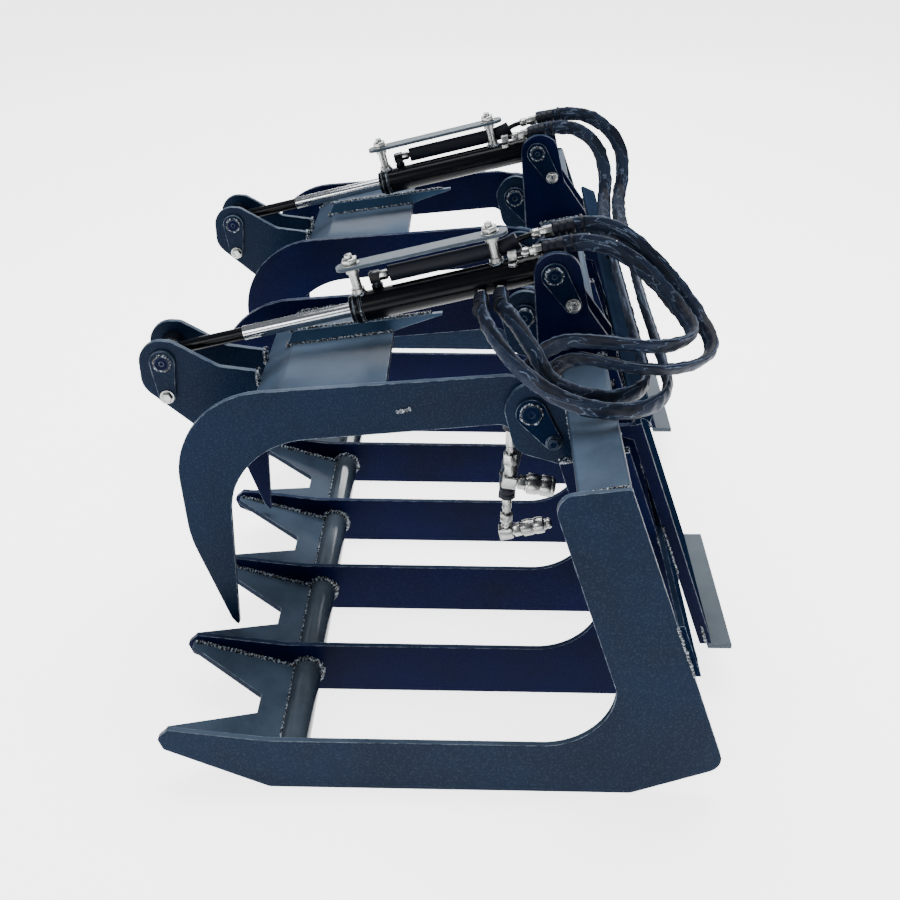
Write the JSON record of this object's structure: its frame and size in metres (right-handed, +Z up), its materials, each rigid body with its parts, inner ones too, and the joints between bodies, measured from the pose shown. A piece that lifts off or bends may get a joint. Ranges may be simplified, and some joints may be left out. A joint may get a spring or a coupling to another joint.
{
  "type": "root grapple",
  "caption": "Root grapple attachment with long steel tines, a notched front lip, hydraulic clamp arms with hooked claws and a skid-steer quick attach frame.",
  "frame": {"origin": "centre of the bounding box at the ground, under the tines", "axes": "+Z up, -Y towards the tine tips, +X to the operator's left as seen from the loader"},
  "size_m": [1.6764, 1.0216, 0.778],
  "materials": {
    "black_paint": "gloss",
    "bright_plating": "polished",
    "zinc_bolts": "satin",
    "bare_steel": "satin",
    "hose_sleeve": "matte"
  },
  "bodies": {
    "frame": {"tine_1": "black_paint", "tine_2": "black_paint", "tine_3": "black_paint", "tine_4": "black_paint", "tine_5": "black_paint", "tine_6": "black_paint", "tine_7": "black_paint", "tine_8": "black_paint", "front_tube": "black_paint", "nose_plates": "black_paint", "top_tube": "black_paint", "rear_cross_bar": "black_paint", "attach_side_plates": "black_paint", "attach_faces": "black_paint", "attach_hook": "black_paint", "attach_lips": "black_paint", "left_claw_brackets": "black_paint", "right_claw_brackets": "black_paint", "left_cylinder_tower": "black_paint", "right_cylinder_tower": "black_paint", "frame_pins": "black_paint", "frame_pin_bolts": "zinc_bolts", "lead_hose_a": "hose_sleeve", "lead_hose_b": "hose_sleeve", "cross_hose_a": "hose_sleeve", "cross_hose_b": "hose_sleeve", "coupler_female": "bright_plating", "coupler_male": "bright_plating"},
    "left_arm": {"left_claw_outer": "black_paint", "left_claw_inner": "black_paint", "left_cover_plate": "black_paint", "left_arm_rib": "black_paint", "left_rod_ears": "black_paint", "left_rod_pin_ends": "black_paint", "left_rod_pin_bolt": "zinc_bolts"},
    "left_barrel": {"left_cylinder_barrel": "black_paint", "left_rod_gland": "black_paint", "left_guard_bar": "black_paint", "left_guard_bolts": "zinc_bolts", "left_oil_lines": "bare_steel"},
    "left_rod": {"left_cylinder_rod": "bright_plating", "left_piston": "bare_steel", "left_rod_eye": "black_paint", "left_rod_pin": "bare_steel"},
    "right_arm": {"right_claw_outer": "black_paint", "right_claw_inner": "black_paint", "right_cover_plate": "black_paint", "right_arm_rib": "black_paint", "right_rod_ears": "black_paint", "right_rod_pin_ends": "black_paint", "right_rod_pin_bolt": "zinc_bolts"},
    "right_barrel": {"right_cylinder_barrel": "black_paint", "right_rod_gland": "black_paint", "right_guard_bar": "black_paint", "right_guard_bolts": "zinc_bolts", "right_oil_lines": "bare_steel"},
    "right_rod": {"right_cylinder_rod": "bright_plating", "right_piston": "bare_steel", "right_rod_eye": "black_paint", "right_rod_pin": "bare_steel"}
  },
  "joints": [
    {"name": "left_arm_open", "type": "hinge", "parent": "frame", "child": "left_arm", "pos_m": [0.35, 0.148, 0.53], "axis": [-1, 0, 0], "range_deg": [0, 60]},
    {"name": "left_barrel_swing", "type": "hinge", "parent": "frame", "child": "left_barrel", "pos_m": [0.35, 0.185, 0.698], "axis": [-1, 0, 0], "range_deg": [0, 61.3], "deforming": ["lead_hose_a", "lead_hose_b"]},
    {"name": "left_rod_slide", "type": "slide", "parent": "left_barrel", "child": "left_rod", "axis": [0, 0.9701, 0.2429], "range_m": [0, 0.1718]},
    {"name": "right_arm_open", "type": "hinge", "parent": "frame", "child": "right_arm", "pos_m": [-0.35, 0.148, 0.53], "axis": [-1, 0, 0], "range_deg": [0, 60]},
    {"name": "right_barrel_swing", "type": "hinge", "parent": "frame", "child": "right_barrel", "pos_m": [-0.35, 0.185, 0.698], "axis": [-1, 0, 0], "range_deg": [0, 61.3], "deforming": ["cross_hose_a", "cross_hose_b"]},
    {"name": "right_rod_slide", "type": "slide", "parent": "right_barrel", "child": "right_rod", "axis": [0, 0.9701, 0.2429], "range_m": [0, 0.1718]}
  ],
  "couplings": [
    {"joint": "left_barrel_swing", "follows": "left_arm_open", "ratio": 1.02},
    {"joint": "left_rod_slide", "follows": "left_arm_open", "m_per_rad": 0.16386},
    {"joint": "right_barrel_swing", "follows": "right_arm_open", "ratio": 1.02},
    {"joint": "right_rod_slide", "follows": "right_arm_open", "m_per_rad": 0.16386}
  ]
}
